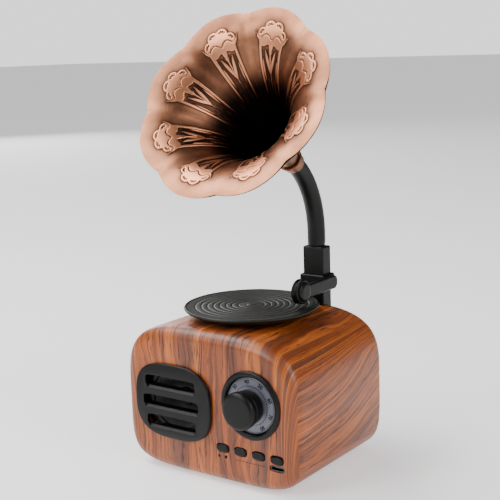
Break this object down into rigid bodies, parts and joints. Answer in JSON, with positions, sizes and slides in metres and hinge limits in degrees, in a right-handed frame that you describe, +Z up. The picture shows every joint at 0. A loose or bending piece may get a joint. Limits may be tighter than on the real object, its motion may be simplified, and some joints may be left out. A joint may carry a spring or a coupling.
{
  "type": "horn loudspeaker",
  "caption": "Small wireless speaker shaped like a gramophone: rounded wood-look cabinet with grille and dial, a record platter, a lifting tonearm and a scalloped horn on a bent neck.",
  "frame": {"origin": "middle of the rest pad's underside, under the middle of the cabinet", "axes": "+Z up; the front, with the grille and the dial, faces -Y; +X to the right seen from the front"},
  "size_m": [0.104, 0.0926, 0.1953],
  "materials": {
    "wood_print": "satin wood-grain printed film on moulded plastic",
    "black_plastic": "satin black moulded plastic",
    "platter_black": "olive-black plastic with turned grooves",
    "copper": "antique brushed copper, dark in the throat and along the relief",
    "steel": "plain steel",
    "brass": "plain brass",
    "rubber": "matt rubber",
    "scale": null,
    "cone_paper": "matt black pressed paper",
    "ferrite": "matt sintered ferrite",
    "circuit_board": "green solder mask",
    "chip": "black moulded package",
    "clear": "clear light pipe",
    "wrap": "blue shrink wrap",
    "lead_red": "red wire insulation"
  },
  "bodies": {
    "cabinet": {"cabinet_shell": "wood_print", "base_plate": "black_plastic", "grille_frame": "black_plastic", "dial_bezel": "black_plastic", "platter_bearing": "black_plastic", "post": "black_plastic", "arm_collar": "black_plastic", "base_screw_1": "steel", "base_screw_2": "steel", "base_screw_3": "steel", "base_screw_4": "steel", "driver_basket": "steel", "driver_back_plate": "steel", "driver_screw_1": "steel", "driver_screw_2": "steel", "driver_screw_3": "steel", "driver_screw_4": "steel", "potentiometer": "steel", "board_screw_1": "steel", "board_screw_2": "steel", "bluetooth_module": "steel", "charging_socket": "steel", "post_screw_1": "steel", "post_screw_2": "steel", "arm_pin": "steel", "potentiometer_nut": "brass", "rest_pad": "rubber", "driver_gasket": "rubber", "dial_scale": "scale", "driver_cone": "cone_paper", "driver_dust_cap": "cone_paper", "driver_magnet": "ferrite", "main_board": "circuit_board", "tact_switch_1": "chip", "tact_switch_2": "chip", "tact_switch_3": "chip", "tact_switch_4": "chip", "amplifier_chip": "chip", "microphone": "chip", "indicator_light": "clear", "capacitor": "wrap", "battery": "wrap", "battery_lead": "lead_red", "speaker_lead": "lead_red"},
    "knob": {"knob_shaft": "steel", "volume_knob": "black_plastic"},
    "key_1": {"button_1": "black_plastic"},
    "key_2": {"button_2": "black_plastic"},
    "key_3": {"button_3": "black_plastic"},
    "key_4": {"button_4": "black_plastic"},
    "turntable": {"platter": "platter_black", "platter_spindle": "steel", "platter_clip": "steel"},
    "arm": {"tonearm": "black_plastic", "soundbox": "black_plastic", "soundbox_cap": "black_plastic", "stylus": "steel"},
    "horn": {"horn_neck": "black_plastic", "horn_ferrule": "copper", "horn_bell": "copper"}
  },
  "joints": [
    {"name": "volume_turn", "type": "hinge", "parent": "cabinet", "child": "knob", "pos_m": [0.0232, -0.0359, 0.0374], "axis": [0, 1, 0], "range_deg": [-150, 150]},
    {"name": "key_1_press", "type": "slide", "parent": "cabinet", "child": "key_1", "axis": [0, 1, 0], "range_m": [0, 0.0005], "stiffness_N_per_m": 400},
    {"name": "key_2_press", "type": "slide", "parent": "cabinet", "child": "key_2", "axis": [0, 1, 0], "range_m": [0, 0.0005], "stiffness_N_per_m": 400},
    {"name": "key_3_press", "type": "slide", "parent": "cabinet", "child": "key_3", "axis": [0, 1, 0], "range_m": [0, 0.0005], "stiffness_N_per_m": 400},
    {"name": "key_4_press", "type": "slide", "parent": "cabinet", "child": "key_4", "axis": [0, 1, 0], "range_m": [0, 0.0005], "stiffness_N_per_m": 400},
    {"name": "platter_spin", "type": "hinge", "parent": "cabinet", "child": "turntable", "pos_m": [0, -0.0013, 0.068], "axis": [0, 0, 1], "continuous": true},
    {"name": "arm_lift", "type": "hinge", "parent": "cabinet", "child": "arm", "pos_m": [0.02125, 0.0318, 0.0752], "axis": [-1, 0, 0], "range_deg": [0, 30]},
    {"name": "horn_swivel", "type": "hinge", "parent": "cabinet", "child": "horn", "pos_m": [0.01325, 0.0318, 0.0912], "axis": [0, 0, 1], "continuous": true}
  ]
}
